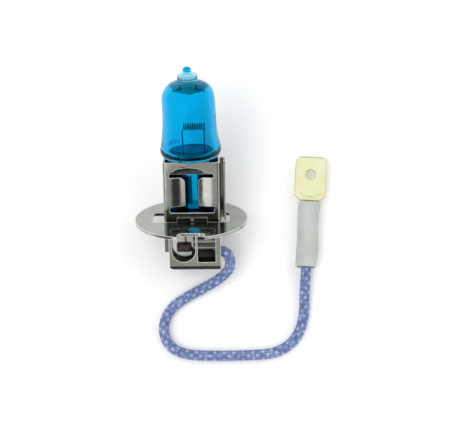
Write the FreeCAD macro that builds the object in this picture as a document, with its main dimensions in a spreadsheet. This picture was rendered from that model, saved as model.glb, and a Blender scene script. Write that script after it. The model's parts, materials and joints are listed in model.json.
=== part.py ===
"""Halogen headlight bulb with a 22 mm flange cap and a flying lead, in millimetres.

The bulb lies on a table, which is Z = 0: the flange's rim touches it, the glass points along +Y and is
tipped up, and the braided lead and its blade terminal lie flat beside the foot. The origin is on the table
under the middle of the lamp. The lamp's own pieces are first made upright about the lamp's axis, with
local Z along the axis towards the glass, local X to the right and local -Y towards the front of the
holder, and Z = 0 on the flange's glass-side face. One placement then tips them all over together.
"""

import FreeCAD, Part
import math
import os
import re

import Sketcher
from FreeCAD import Placement, Rotation, Vector

os.makedirs("parts", exist_ok=True)
doc = FreeCAD.newDocument("headlight_bulb")

# ---------------------------------------------------------------- driving dimensions

SIZES = [
    # how the lamp lies
    ("tilt", 30.0),                 # angle between the lamp's axis and the table, degrees
    # flange
    ("flange_radius", 11.0), ("flange_thick", 0.6), ("opening_width", 15.0), ("opening_depth", 5.5),
    ("opening_corner", 0.6), ("notch_width", 5.2), ("notch_floor", 8.75), ("notch_corner", 1.2),
    ("tab_width", 6.0), ("tab_rise", 0.8), ("tab_thick", 0.5), ("tab_corner", 0.4),
    ("tab_gap", 0.05), ("tab_foot_setback", 0.2),
    # holder
    ("sheet", 0.4), ("front_centre", 0.25), ("front_width", 11.0), ("holder_depth", 3.8),
    ("holder_top", 11.8), ("holder_low", -0.6), ("overlap", 0.1), ("bend_outer", 0.55),
    ("bend_inner", 0.2), ("rear_right", 6.8), ("rear_wall_reach", 2.7), ("window_width", 8.6),
    ("window_low", 1.65), ("window_high", 9.45), ("slot_low_height", 1.2), ("slot_high_height", 0.74),
    ("slot_corner", 0.35), ("flap_radius", 7.2), ("flap_angle", 25.0), ("flap_corner", 1.2),
    ("louver_half", 3.1), ("louver_rise", 1.05), ("louver_depth", 0.7), ("louver_shift", -0.6),
    ("louver_low", 9.6), ("lip_width", 6.8), ("lip_rise", 0.4),
    # foot
    ("foot_left", -4.5), ("foot_right", 5.7), ("foot_low", -10.75), ("foot_bend", 1.65),
    ("foot_chamfer", 0.9), ("foot_top", -0.2), ("weld_slot_radius", 2.3), ("weld_slot_side", -1.6),
    ("weld_slot_low", -6.35), ("weld_slot_high", -2.8), ("weld_slot_top_corner", 0.5),
    ("foot_window_left", 1.15), ("foot_window_right", 4.65), ("foot_window_low", -8.7),
    ("foot_window_high", -3.4), ("rear_foot_left", -5.6), ("rear_foot_low", -7.9),
    # glass
    ("glass_side", 0.35), ("glass_lean", 1.3), ("lean_height", 7.0), ("seal_width", 9.6),
    ("seal_thick", 1.5), ("seal_rib_thick", 2.7), ("seal_rib_width", 0.8), ("seal_low", 0.8),
    ("seal_high", 13.2),
    # filament, posts, foils and pins
    ("light_centre", 18.4), ("filament_shift", 0.62), ("coil_length", 3.8), ("coil_radius", 0.62),
    ("coil_wire", 0.08), ("coil_pitch", 0.42), ("post_radius", 0.12), ("post_foot", 8.6),
    ("post_spread", 2.1), ("foil_width", 2.8), ("foil_thick", 0.1), ("foil_low", 3.0),
    ("foil_high", 8.6), ("pin_radius", 0.2), ("live_pin_side", -1.87), ("live_pin_end", -5.2),
    ("ground_pin_side", 1.9), ("ground_pin_end", -1.6),
    # lead inside the foot
    ("lead_radius", 1.08), ("core_radius", 0.7), ("lead_height", -6.9), ("lead_start", 4.1),
    ("weld_block_left", -3.02), ("weld_block_right", -0.12), ("weld_block_high", -5.25),
    ("weld_block_height", 1.75), ("weld_block_thick", 1.5), ("weld_block_round", 0.3),
    ("ferrule_left", 0.25), ("ferrule_right", 5.25), ("ferrule_back", 1.4), ("ferrule_axis", -0.35),
    ("ferrule_low", -8.9), ("ferrule_high", -4.0),
    # terminal and sleeve
    ("terminal_x", 23.7), ("terminal_y", -4.076), ("terminal_z", 2.35), ("terminal_yaw", -4.0),
    ("blade_width", 6.3), ("blade_thick", 0.8), ("blade_tip", 9.6), ("blade_base", 0.4),
    ("blade_neck", 3.6), ("neck_thick", 0.4), ("neck_low", -1.2), ("neck_high", 1.5),
    ("blade_chamfer", 0.9), ("blade_shoulder", 1.0), ("blade_hole_radius", 1.0),
    ("blade_hole_from_tip", 3.8), ("barrel_radius", 1.5), ("barrel_end", -8.8),
    ("barrel_start", -0.6), ("core_tip_length", 6.5), ("sleeve_length", 13.3),
    ("sleeve_mouth_radius", 2.2), ("sleeve_top_radius", 2.35), ("sleeve_wall", 0.5),
]

sizes = doc.addObject("Spreadsheet::Sheet", "sizes")
for row, (alias, value) in enumerate(SIZES, start=1):
    sizes.set("A%d" % row, alias)
    sizes.set("B%d" % row, repr(value))
    sizes.setAlias("B%d" % row, alias)
doc.recompute()


def size(alias):
    """One number from the sheet."""
    return float(sizes.get(alias))


def bound(text):
    """Turns 'flange_radius / 2' into the same formula over the sheet's cells."""
    return re.sub(r"[a-z]+_?[a-z_]*", lambda word: "sizes." + word.group(0), text)


# The lead's route from the ferrule to the crimp: (x, y, z) in the part's own frame.
ROUTE = [
    (4.1, -14.216, 6.376),
    (6.1, -14.216, 6.376),
    (7.45, -15.35, 5.75),
    (7.55, -17.55, 4.6),
    (5.8, -19.2, 2.9),
    (2.9, -20.8, 1.45),
    (-1.15, -22.8, 1.09),
    (-4.6, -25.15, 1.09),
    (-6.25, -28.65, 1.09),
    (-5.35, -32.45, 1.09),
    (-2.05, -34.5, 1.09),
    (4.0, -34.8, 1.09),
    (11.0, -34.75, 1.09),
    (16.8, -34.4, 1.09),
    (20.7, -31.6, 1.09),
    (22.25, -27.2, 1.09),
    (22.4, -22.0, 1.3),
    (22.77, -17.35, 2.35),
    (23.086, -12.855, 2.35),
]

# ---------------------------------------------------------------- helpers


def bind(thing, **formulas):
    """Binds properties to formulas over the sheet."""
    for name, text in formulas.items():
        thing.setExpression(name, bound(text))


def body(label):
    """An empty PartDesign body with its own label."""
    made = doc.addObject("PartDesign::Body", label)
    made.Label = label
    return made


def sketch_on(owner, name, plane, lift=None):
    """A sketch on one of the body's own origin planes, moved along that plane's normal by a formula."""
    made = owner.newObject("Sketcher::SketchObject", name)
    plane_object = [f for f in owner.Origin.OriginFeatures if f.Role == plane][0]
    made.AttachmentSupport = [(plane_object, "")]
    made.MapMode = "FlatFace"
    if lift:
        made.setExpression("AttachmentOffset.Base.z", bound(lift))
    return made


def hold(sketch, geometry, point, across, up):
    """Holds one sketch point at two formulas from the sketch's origin."""
    for kind, text in (("DistanceX", across), ("DistanceY", up)):
        index = sketch.addConstraint(Sketcher.Constraint(kind, -1, 1, geometry, point, 1.0))
        sketch.setExpression("Constraints[%d]" % index, bound(text))


def outline(owner, name, plane, corners, lift=None):
    """A closed sketch of straight edges, each corner a pair of formulas."""
    sketch = sketch_on(owner, name, plane, lift)
    count = len(corners)
    step = 2 * math.pi / count
    ring = [Vector(math.cos(step * i), math.sin(step * i), 0) for i in range(count)]
    for i in range(count):
        sketch.addGeometry(Part.LineSegment(ring[i], ring[(i + 1) % count]), False)
    for i in range(count):
        sketch.addConstraint(Sketcher.Constraint("Coincident", i, 2, (i + 1) % count, 1))
    for i, (across, up) in enumerate(corners):
        hold(sketch, i, 1, across, up)
    return sketch


def rectangle(owner, name, plane, left, right, low, high, lift=None):
    """A closed rectangular sketch between four formulas."""
    return outline(owner, name, plane, [(left, low), (right, low), (right, high), (left, high)], lift)


def circle(owner, name, plane, across, up, radius, lift=None):
    """A circle sketch with its centre and radius held by formulas."""
    sketch = sketch_on(owner, name, plane, lift)
    sketch.addGeometry(Part.Circle(Vector(0, 0, 0), Vector(0, 0, 1), 1.0), False)
    hold(sketch, 0, 3, across, up)
    index = sketch.addConstraint(Sketcher.Constraint("Radius", 0, 1.0))
    sketch.setExpression("Constraints[%d]" % index, bound(radius))
    return sketch


def pad(owner, sketch, length, reverse=False):
    """Raises a sketch into a solid and recomputes, so that what follows can read it."""
    made = owner.newObject("PartDesign::Pad", sketch.Name + "_pad")
    made.Profile = sketch
    made.Reversed = reverse
    bind(made, Length=length)
    doc.recompute()
    return made


def pocket(owner, sketch, length, reverse=False):
    """Cuts a sketch into the solid and checks that it removed something."""
    before = owner.Shape.Volume
    made = owner.newObject("PartDesign::Pocket", sketch.Name + "_pocket")
    made.Profile = sketch
    made.Reversed = reverse
    bind(made, Length=length)
    doc.recompute()
    if owner.Shape.Volume >= before - 1e-6:
        raise RuntimeError(sketch.Name + " cuts nothing")
    return made


def edges_where(shape, test):
    """Names of a shape's straight edges whose middle and direction pass the test."""
    names = []
    for number, edge in enumerate(shape.Edges, start=1):
        if edge.Curve.TypeId != "Part::GeomLine":
            continue
        middle = edge.valueAt((edge.FirstParameter + edge.LastParameter) / 2)
        direction = edge.tangentAt(edge.FirstParameter)
        if test(middle, direction):
            names.append("Edge%d" % number)
    return names


def fillet(owner, name, radius, test, kind="PartDesign::Fillet"):
    """Rounds the straight edges of the body's tip that pass the test."""
    tip = owner.Tip
    names = edges_where(tip.Shape, test)
    if not names:
        raise RuntimeError(name + " found no edge")
    made = owner.newObject(kind, name)
    made.Base = (tip, names)
    bind(made, **{"Radius" if kind.endswith("Fillet") else "Size": radius})
    doc.recompute()
    return made


def near(value, wanted):
    """Whether two lengths agree to 0.02 mm."""
    return abs(value - wanted) < 0.02


def cylinder(label, radius, height, at, rotation=Rotation()):
    """A Part cylinder with sizes from formulas, which starts at a point and runs along its turned Z."""
    made = doc.addObject("Part::Cylinder", label)
    made.Label = label
    bind(made, Radius=radius, Height=height)
    made.Placement = Placement(Vector(*at), rotation)
    return made


def block(label, length, width, height, at):
    """A Part box with sizes from formulas, at a point."""
    made = doc.addObject("Part::Box", label)
    made.Label = label
    bind(made, Length=length, Width=width, Height=height)
    made.Placement = Placement(Vector(*at), Rotation())
    return made


def fused(label, pieces):
    """The union of several pieces."""
    made = doc.addObject("Part::MultiFuse", label)
    made.Label = label
    made.Shapes = pieces
    made.Refine = True
    return made


def cut(label, base, tool):
    """One piece without what another covers."""
    made = doc.addObject("Part::Cut", label)
    made.Label = label
    made.Base = base
    made.Tool = tool
    return made


ALONG_X = Rotation(Vector(0, 1, 0), 90)
ALONG_Y = Rotation(Vector(1, 0, 0), -90)

# ---------------------------------------------------------------- flange


def make_flange_disc():
    disc = body("flange_disc")
    pad(disc, circle(disc, "rim", "XY_Plane", "0", "0", "flange_radius"), "flange_thick", reverse=True)
    pocket(disc, rectangle(disc, "opening", "XY_Plane", "-opening_width / 2", "opening_width / 2",
                           "-opening_depth / 2", "opening_depth / 2"), "flange_thick")
    half_width = size("opening_width") / 2
    half_depth = size("opening_depth") / 2
    fillet(disc, "opening_corners", "opening_corner",
           lambda m, d: near(abs(m.x), half_width) and near(abs(m.y), half_depth))
    notch = rectangle(disc, "notch", "XY_Plane", "front_centre - notch_width / 2",
                      "front_centre + notch_width / 2", "-flange_radius - overlap", "-notch_floor")
    pocket(disc, notch, "flange_thick")
    fillet(disc, "notch_corners", "notch_corner",
           lambda m, d: near(m.y, -size("notch_floor")) and abs(d.z) > 0.9)
    for name, side in (("front_tab", "-1"), ("rear_tab", "1")):
        inner = "%s * (holder_depth / 2 + tab_gap)" % side
        outer = "%s * (holder_depth / 2 + tab_gap + tab_thick)" % side
        foot_edge = "%s * (opening_depth / 2 + tab_foot_setback)" % side
        angle = outline(disc, name, "YZ_Plane", [
            (inner, "-flange_thick"), (foot_edge, "-flange_thick"), (foot_edge, "0"),
            (outer, "0"), (outer, "tab_rise"), (inner, "tab_rise")],
            "front_centre - tab_width / 2")
        pad(disc, angle, "tab_width")
    fillet(disc, "tab_tops", "tab_corner", lambda m, d: abs(d.y) > 0.9 and near(m.z, size("tab_rise")))
    return disc


# ---------------------------------------------------------------- holder


def flap(label, side, face):
    """A spring flap: a strip of a cylinder's wall, hinged at the window's upright edge."""
    hinge = size("front_centre") - side * size("window_width") / 2
    middle = face * (size("flap_radius") - size("holder_depth") / 2)
    low = size("window_low") + size("slot_low_height")
    high = size("window_high") - size("slot_high_height")
    start = (270 if face > 0 else 90) - (size("flap_angle") if side * face < 0 else 0)
    height = "window_high - slot_high_height - window_low - slot_low_height"
    outer = cylinder(label + "_outer", "flap_radius", height, (hinge, middle, low),
                     Rotation(Vector(0, 0, 1), start))
    bind(outer, Angle="flap_angle")
    inner = cylinder(label + "_inner", "flap_radius - sheet", "window_high - window_low",
                     (hinge, middle, low - size("overlap")))
    strip = cut(label, outer, inner)
    doc.recompute()
    turn = math.radians(size("flap_angle"))
    free_edge = hinge + side * (size("flap_radius") - size("sheet") / 2) * math.sin(turn)
    rounded = doc.addObject("Part::Fillet", label + "_rounded")
    rounded.Base = strip
    edges = [int(name[4:]) for name in edges_where(
        strip.Shape, lambda m, d: near(m.z, high) and abs(m.x - free_edge) < size("sheet") / 3)]
    rounded.Edges = [(number, size("flap_corner"), size("flap_corner")) for number in edges]
    return rounded


def louver(label, face):
    """The two quarter ellipsoids of a louver pressed into a shell's face: its back and its hollow."""
    turned = Rotation(Vector(0, 0, 1), 0 if face > 0 else 180)
    middle = size("front_centre") + size("louver_shift")
    parts = []
    for name, growth, sink in (("back", "sheet", "sheet / 2"), ("hollow", "0", "0")):
        quarter = doc.addObject("Part::Ellipsoid", label + "_" + name)
        quarter.Angle1 = 0
        quarter.Angle2 = 90
        quarter.Angle3 = 180
        bind(quarter, Radius1="louver_rise + %s" % growth, Radius2="louver_half + %s" % growth,
             Radius3="louver_depth + (%s) - (%s)" % (growth, sink))
        depth = size("holder_depth") / 2 - (size("sheet") / 2 if name == "back" else 0)
        quarter.Placement = Placement(Vector(middle, -face * depth, size("louver_low")), turned)
        parts.append(quarter)
    return parts


def pressed(label, shell, face):
    """A shell with its louver and its two flaps."""
    back, hollow = louver(label + "_louver", face)
    dented = cut(label + "_dented", fused(label + "_backed", [shell, back]), hollow)
    flaps = [flap(label + "_flap_" + name, side, face) for name, side in (("left", 1), ("right", -1))]
    return fused(label, [dented] + flaps)


def cut_window(shell, reverse):
    """Cuts the window through one face of a shell and rounds its corners."""
    lift = "holder_depth / 2 + 1" if not reverse else "-holder_depth / 2 - 1"
    pocket(shell, rectangle(shell, shell.Label + "_window", "XZ_Plane", "front_centre - window_width / 2",
                            "front_centre + window_width / 2", "window_low", "window_high", lift),
           "1 + 2 * sheet", reverse)
    left = size("front_centre") - size("window_width") / 2
    right = size("front_centre") + size("window_width") / 2
    fillet(shell, shell.Label + "_window_corners", "slot_corner",
           lambda m, d: abs(d.y) > 0.9 and (near(m.x, left) or near(m.x, right))
           and (near(m.z, size("window_low")) or near(m.z, size("window_high"))))


def cut_weld_slot(shell, reverse):
    """Cuts the round-bottomed slot over the weld through one face of a shell's foot."""
    lift = "holder_depth / 2 + 1" if not reverse else "-holder_depth / 2 - 1"
    left = "weld_slot_side - weld_slot_radius"
    right = "weld_slot_side + weld_slot_radius"
    depth = "1 + 2 * sheet"
    pocket(shell, circle(shell, shell.Label + "_weld_round", "XZ_Plane", "weld_slot_side", "weld_slot_low",
                         "weld_slot_radius", lift), depth, reverse)
    pocket(shell, rectangle(shell, shell.Label + "_weld_sides", "XZ_Plane", left, right,
                            "weld_slot_low", "weld_slot_high", lift), depth, reverse)
    fillet(shell, shell.Label + "_weld_corners", "weld_slot_top_corner",
           lambda m, d: abs(d.y) > 0.9 and near(m.z, size("weld_slot_high"))
           and near(abs(m.x - size("weld_slot_side")), size("weld_slot_radius")))


def make_holder_front():
    shell = body("front_shell")
    left = "front_centre - front_width / 2"
    right = "front_centre + front_width / 2"
    face = "-holder_depth / 2"
    back = "holder_depth / 2 - sheet"
    pad(shell, outline(shell, "front_channel", "XY_Plane", [
        (left, face), (right, face), (right, back), (right + " - sheet", back),
        (right + " - sheet", face + " + sheet"), (left + " + sheet", face + " + sheet"),
        (left + " + sheet", back), (left, back)], "holder_low"), "holder_top - holder_low")
    front = -size("holder_depth") / 2
    fillet(shell, "front_bends_outer", "bend_outer", lambda m, d: abs(d.z) > 0.9 and near(m.y, front))
    fillet(shell, "front_bends_inner", "bend_inner",
           lambda m, d: abs(d.z) > 0.9 and near(m.y, front + size("sheet")))
    pad(shell, outline(shell, "foot_section", "YZ_Plane", [
        (face, "foot_top"), (face, "foot_low"), (back, "foot_low"), (back, "foot_low + sheet"),
        (face + " + sheet", "foot_low + sheet"), (face + " + sheet", "foot_top")], "foot_left"),
        "foot_right - foot_left")
    fillet(shell, "foot_bend_outer", "foot_bend",
           lambda m, d: abs(d.x) > 0.9 and near(m.y, front) and near(m.z, size("foot_low")))
    fillet(shell, "foot_bend_inner", "foot_bend - sheet",
           lambda m, d: abs(d.x) > 0.9 and near(m.y, front + size("sheet"))
           and near(m.z, size("foot_low") + size("sheet")))
    pocket(shell, outline(shell, "foot_corner", "XZ_Plane", [
        ("foot_left - overlap", "foot_low - overlap"), ("foot_left + foot_chamfer", "foot_low - overlap"),
        ("foot_left - overlap", "foot_low + foot_chamfer")], "holder_depth"), "2 * holder_depth")
    cut_weld_slot(shell, False)
    pocket(shell, rectangle(shell, "foot_window", "XZ_Plane", "foot_window_left", "foot_window_right",
                            "foot_window_low", "foot_window_high", "holder_depth / 2 + 1"), "1 + 2 * sheet")
    lip = outline(shell, "lip_section", "YZ_Plane", [
        (face, "holder_top - overlap"), (face + " + sheet", "holder_top - overlap"),
        (face + " + sheet + lip_rise", "holder_top + lip_rise"),
        (face + " + lip_rise", "holder_top + lip_rise")],
        "front_centre - lip_width / 2")
    pad(shell, lip, "lip_width")
    cut_window(shell, False)
    return pressed("holder_front", shell, 1)


def make_holder_rear():
    shell = body("rear_shell")
    left = "front_centre - front_width / 2"
    back = "holder_depth / 2"
    front = "holder_depth / 2 - rear_wall_reach"
    pad(shell, outline(shell, "rear_channel", "XY_Plane", [
        (left, back), (left, back + " - sheet"), ("rear_right - sheet", back + " - sheet"),
        ("rear_right - sheet", front), ("rear_right", front), ("rear_right", back)], "holder_low"),
        "holder_top - holder_low")
    rear = size("holder_depth") / 2
    fillet(shell, "rear_bend_outer", "bend_outer",
           lambda m, d: abs(d.z) > 0.9 and near(m.y, rear) and near(m.x, size("rear_right")))
    fillet(shell, "rear_bend_inner", "bend_inner",
           lambda m, d: abs(d.z) > 0.9 and near(m.y, rear - size("sheet"))
           and near(m.x, size("rear_right") - size("sheet")))
    pad(shell, rectangle(shell, "rear_foot", "XZ_Plane", "rear_foot_left", "foot_right", "rear_foot_low",
                         "foot_top", "-holder_depth / 2"), "sheet")
    pad(shell, rectangle(shell, "rear_foot_base", "XZ_Plane", "foot_left", "foot_right", "foot_low + sheet",
                         "rear_foot_low", "-holder_depth / 2"), "sheet")
    cut_weld_slot(shell, True)
    cut_window(shell, True)
    return pressed("holder_rear", shell, -1)


# ---------------------------------------------------------------- glass and what it holds

# Stations of the envelope's outer curve, (height on the axis, radius), from the seal to the nipple.
BULB_CURVE = [(12.4, 4.9), (13.9, 5.85), (16.2, 5.42), (19.5, 5.1), (22.4, 5.07), (24.2, 5.03), (25.6, 4.6),
              (26.6, 3.75), (27.25, 2.5), (27.45, 1.98)]
# The nipple and the sealed tip above it.
TIP_CURVE = [(27.45, 1.98), (27.95, 1.93), (28.4, 1.65), (28.75, 1.08), (28.98, 0.76), (29.5, 0.74),
             (29.85, 0.0)]
# The hollow inside, above its flat floor.
HOLLOW_CURVE = [(13.4, 3.7), (14.6, 4.4), (17.5, 4.25), (22.8, 4.1), (24.7, 3.65), (25.8, 2.3), (26.2, 0.0)]


def revolved(curves):
    """A solid turned about Z from curves through (height, radius) stations, with a flat floor."""
    edges = []
    for stations in curves:
        curve = Part.BSplineCurve()
        curve.interpolate([Vector(radius, 0, height) for height, radius in stations])
        edges.append(curve.toShape())
    floor, rim = curves[0][0]
    top = curves[-1][-1][0]
    edges.append(Part.makeLine(Vector(0, 0, floor), Vector(rim, 0, floor)))
    edges.append(Part.makeLine(Vector(0, 0, top), Vector(0, 0, floor)))
    face = Part.Face(Part.Wire(Part.__sortEdges__(edges)))
    solid = Part.makeSolid(face.revolve(Vector(0, 0, 0), Vector(0, 0, 1), 360))
    if solid.Volume < 0:
        solid.reverse()
    return solid


def make_glass_blank():
    """The envelope and its pinch seal before the metal inside is taken out of them."""
    envelope = revolved([BULB_CURVE, TIP_CURVE])
    hollow = revolved([HOLLOW_CURVE])
    width, high, low = size("seal_width"), size("seal_high"), size("seal_low")
    thick = size("seal_thick")
    slabs = [Part.makeBox(width, thick, high - low, Vector(-width / 2, -thick / 2, low))]
    for left in (-width / 2, width / 2 - size("seal_rib_width")):
        slabs.append(Part.makeBox(size("seal_rib_width"), size("seal_rib_thick"), high - low,
                                  Vector(left, -size("seal_rib_thick") / 2, low)))
    glass = doc.addObject("Part::Feature", "glass_blank")
    glass.Shape = envelope.fuse(slabs).cut(hollow).removeSplitter()
    return glass


def make_filament():
    """A coil that lies across the lamp's axis, centred on the light centre."""
    length = size("coil_length")
    helix = Part.makeHelix(size("coil_pitch"), length, size("coil_radius"))
    wire = Part.Circle(Vector(size("coil_radius"), 0, 0), Vector(0, 1, 0), size("coil_wire"))
    sweep = Part.BRepOffsetAPI.MakePipeShell(Part.Wire(helix.Edges))
    sweep.setFrenetMode(True)
    sweep.add(Part.Wire(wire.toShape()))
    sweep.build()
    sweep.makeSolid()
    coil = doc.addObject("Part::Feature", "filament_coil")
    coil.Shape = sweep.shape()
    left_end = Vector(size("filament_shift") - length / 2, 0, size("light_centre"))
    coil.Placement = Placement(left_end, ALONG_X)
    return coil


def make_posts():
    """Two wires that stand on the foils: the left one meets the coil's underside, the right one its top."""
    reach = size("coil_radius") + size("coil_wire")
    low = size("post_foot")
    posts = []
    for label, side in (("support_post_left", -1), ("support_post_right", 1)):
        top = size("light_centre") + side * reach
        post = cylinder(label, "post_radius", "%r" % (top - low),
                        (size("filament_shift") + side * (size("coil_length") / 2 + size("post_radius")
                         + size("coil_wire")), 0, low))
        posts.append(post)
    return posts


def make_foils():
    foils = []
    for label, side in (("foil_left", -1), ("foil_right", 1)):
        centre = size("filament_shift") + side * size("post_spread")
        foils.append(block(label, "foil_width", "foil_thick", "foil_high - foil_low",
                           (centre - size("foil_width") / 2, -size("foil_thick") / 2, size("foil_low"))))
    return foils


def make_pins():
    live = cylinder("outer_pin_live", "pin_radius", "foil_low - live_pin_end",
                    (size("live_pin_side"), 0, size("live_pin_end")))
    upright = cylinder("ground_pin_upright", "pin_radius", "foil_low - ground_pin_end",
                       (size("ground_pin_side"), 0, size("ground_pin_end")))
    foot = cylinder("ground_pin_foot", "pin_radius", "holder_depth / 2 - sheet",
                    (size("ground_pin_side"), 0, size("ground_pin_end")), ALONG_Y)
    knee = doc.addObject("Part::Sphere", "ground_pin_knee")
    bind(knee, Radius="pin_radius")
    knee.Placement = Placement(Vector(size("ground_pin_side"), 0, size("ground_pin_end")), Rotation())
    return [live, fused("outer_pin_ground", [upright, foot, knee])]


# ---------------------------------------------------------------- lead inside the foot


def make_weld_block():
    low = size("weld_block_high") - size("weld_block_height")
    slab = block("strand_weld_slab", "weld_block_right - weld_block_left", "weld_block_thick",
                 "weld_block_height", (size("weld_block_left"), -size("weld_block_thick") / 2, low))
    doc.recompute()
    made = doc.addObject("Part::Fillet", "strand_weld_block")
    made.Label = "strand_weld_block"
    made.Base = slab
    rounding = size("weld_block_round")
    made.Edges = [(number, rounding, rounding) for number in range(1, 13)]
    return made


# The ferrule's rolled ridges from the top down: (height on the lamp's axis, radius).
RIDGES = [(-4.6, 0.6), (-5.95, 0.6), (-7.35, 1.1)]


def make_ferrule_blank():
    """The crimped ferrule before its bores: a wall behind a stack of rolled ridges."""
    low, left, axis = size("ferrule_low"), size("ferrule_left"), size("ferrule_axis")
    ridges = [block("ferrule_wall", "ferrule_right - ferrule_left", "ferrule_back - ferrule_axis",
                    "ferrule_high - ferrule_low", (left, axis, low))]
    for number, (height, radius) in enumerate(RIDGES, start=1):
        ridges.append(cylinder("ferrule_ridge_%d" % number, "%r" % radius, "ferrule_right - ferrule_left",
                               (left, axis, height), ALONG_X))
    return fused("ferrule_blank", ridges)


# ---------------------------------------------------------------- the free lead


def route_path(points):
    """Straight runs joined by tangent arcs, each as large as its runs allow: the wire and the radii."""
    corners = [Vector(*point) for point in points]
    edges, radii = [], []
    last = corners[0]
    for before, corner, after in zip(corners, corners[1:], corners[2:]):
        incoming = (corner - before).normalize()
        outgoing = (after - corner).normalize()
        turn = incoming.getAngle(outgoing)
        trim = 0.45 * min((corner - before).Length, (after - corner).Length)
        radii.append(trim / math.tan(turn / 2))
        start = corner - incoming * trim
        end = corner + outgoing * trim
        inward = (outgoing - incoming).normalize()
        middle = corner + inward * (radii[-1] / math.cos(turn / 2) - radii[-1])
        edges.append(Part.LineSegment(last, start).toShape())
        edges.append(Part.Arc(start, middle, end).toShape())
        last = end
    edges.append(Part.LineSegment(last, corners[-1]).toShape())
    return Part.Wire(edges), radii


def make_lead():
    path, radii = route_path(ROUTE)
    first = (Vector(*ROUTE[1]) - Vector(*ROUTE[0])).normalize()
    section = Part.Wire(Part.Circle(Vector(*ROUTE[0]), first, size("lead_radius")).toShape())
    lead = doc.addObject("Part::Feature", "lead_braid")
    lead.Label = "lead_braid"
    lead.Shape = path.makePipeShell([section], True, False)
    expected = math.pi * size("lead_radius") ** 2 * path.Length
    print("lead radii", [round(radius, 2) for radius in radii])
    print("lead length %.2f, volume %.3f against %.3f" % (path.Length, lead.Shape.Volume, expected))
    return lead


# ---------------------------------------------------------------- terminal


def make_terminal():
    """The blade, its thinner neck and the round crimp barrel, along local +Y from the sleeve's end."""
    blade = body("blade")
    half = "blade_width / 2"
    side = [(half + " - blade_chamfer", "blade_tip"), (half, "blade_tip - blade_chamfer"),
            (half, "blade_base + blade_shoulder"), (half + " - blade_shoulder", "blade_base")]
    mirrored = [("-(" + across + ")", up) for across, up in reversed(side)]
    pad(blade, outline(blade, "blade_outline", "XY_Plane", side + mirrored, "-blade_thick / 2"),
        "blade_thick")
    pad(blade, rectangle(blade, "neck", "XY_Plane", "-blade_neck / 2", "blade_neck / 2", "neck_low",
                         "neck_high", "-neck_thick / 2"), "neck_thick")
    pocket(blade, circle(blade, "blade_hole", "XY_Plane", "0", "blade_tip - blade_hole_from_tip",
                         "blade_hole_radius", "blade_thick"), "2 * blade_thick")
    tip = size("blade_tip")
    fillet(blade, "blade_lead_in", "blade_thick / 4",
           lambda m, d: near(m.y, tip) and abs(d.x) > 0.9, "PartDesign::Chamfer")
    end = (0, size("barrel_end"), 0)
    barrel = cylinder("crimp_barrel", "barrel_radius", "barrel_start - barrel_end", end, ALONG_Y)
    core = cylinder("lead_core_tip", "core_radius", "core_tip_length", end, ALONG_Y)
    bore = cylinder("barrel_bore", "core_radius", "core_tip_length", end, ALONG_Y)
    return cut("terminal_blade", fused("terminal_blank", [blade, barrel]), bore), core


def make_sleeve():
    """A slightly tapered tube over the barrel, open at both ends: round the lead and round the neck."""
    length = size("sleeve_length")
    outer = doc.addObject("Part::Cone", "sleeve_outer")
    bind(outer, Radius1="sleeve_mouth_radius", Radius2="sleeve_top_radius", Height="sleeve_length")
    outer.Placement = Placement(Vector(0, -length, 0), ALONG_Y)
    bore = doc.addObject("Part::Cone", "sleeve_bore")
    bind(bore, Radius1="sleeve_mouth_radius - sleeve_wall", Radius2="sleeve_top_radius - sleeve_wall",
         Height="sleeve_length")
    bore.Placement = Placement(Vector(0, -length, 0), ALONG_Y)
    return cut("insulating_sleeve", outer, bore)


# ---------------------------------------------------------------- building it

flange = make_flange_disc()
holder_front = make_holder_front()
holder_rear = make_holder_rear()
glass_blank = make_glass_blank()
filament = make_filament()
posts = make_posts()
foils = make_foils()
pins = make_pins()
core_foot = cylinder("lead_core_foot", "core_radius", "lead_start - weld_block_right",
                     (size("weld_block_right"), 0, size("lead_height")), ALONG_X)
weld_block = make_weld_block()
ferrule_blank = make_ferrule_blank()
lead = make_lead()
terminal, core_tip = make_terminal()
sleeve = make_sleeve()
doc.recompute()

SEALED_IN = posts + foils + pins
LAMP = [flange, holder_front, holder_rear, filament, core_foot, weld_block] + SEALED_IN
BLANKS = [glass_blank, ferrule_blank]
tipped = Rotation(Vector(1, 0, 0), size("tilt") - 90)
leaned = Rotation(Vector(0, 1, 0), -size("glass_lean"))


def stand_at(pieces, move):
    """Puts one more placement on top of what each piece has."""
    for piece in pieces:
        piece.Placement = move.multiply(piece.Placement)


# The glass and all that is sealed in it stand a little to one side in the holder and lean to the other.
stand_at(SEALED_IN + [filament, glass_blank], Placement(
    Vector(size("glass_side"), 0, 0), leaned, Vector(0, 0, size("lean_height"))))
stand_at(LAMP + BLANKS, Placement(Vector(0, 0, 0), tipped))
glass = cut("glass_capsule", glass_blank, fused("sealed_in", SEALED_IN))
doc.recompute()

# The lamp is moved so that the table is Z = 0 under it and the origin is under the middle of its box.
box = FreeCAD.BoundBox()
for piece in LAMP + [glass]:
    box.add(piece.Shape.optimalBoundingBox())
stand_at(LAMP + BLANKS, Placement(Vector(-box.Center.x, -box.Center.y, -box.ZMin), Rotation()))
stand_at([terminal, core_tip, sleeve], Placement(
    Vector(size("terminal_x"), size("terminal_y"), size("terminal_z")),
    Rotation(Vector(0, 0, 1), size("terminal_yaw"))))
ferrule = cut("lead_ferrule", ferrule_blank, fused("ferrule_bores", [core_foot, lead]))
doc.recompute()

NODES = LAMP + [glass, ferrule, lead, terminal, core_tip, sleeve]

for made in doc.Objects:
    if "Invalid" in made.State or "Error" in made.State:
        raise RuntimeError("%s failed: %s" % (made.Name, made.State))
for node in NODES:
    if node.Shape.isNull() or not node.Shape.isValid():
        raise RuntimeError(node.Label + " has no valid shape")
    node.Shape.exportStep("parts/%s.step" % node.Label)
    print("%-20s %d solid, volume %.3f" % (node.Label, len(node.Shape.Solids), node.Shape.Volume))
print("flange centre", flange.Placement.Base)
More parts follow.
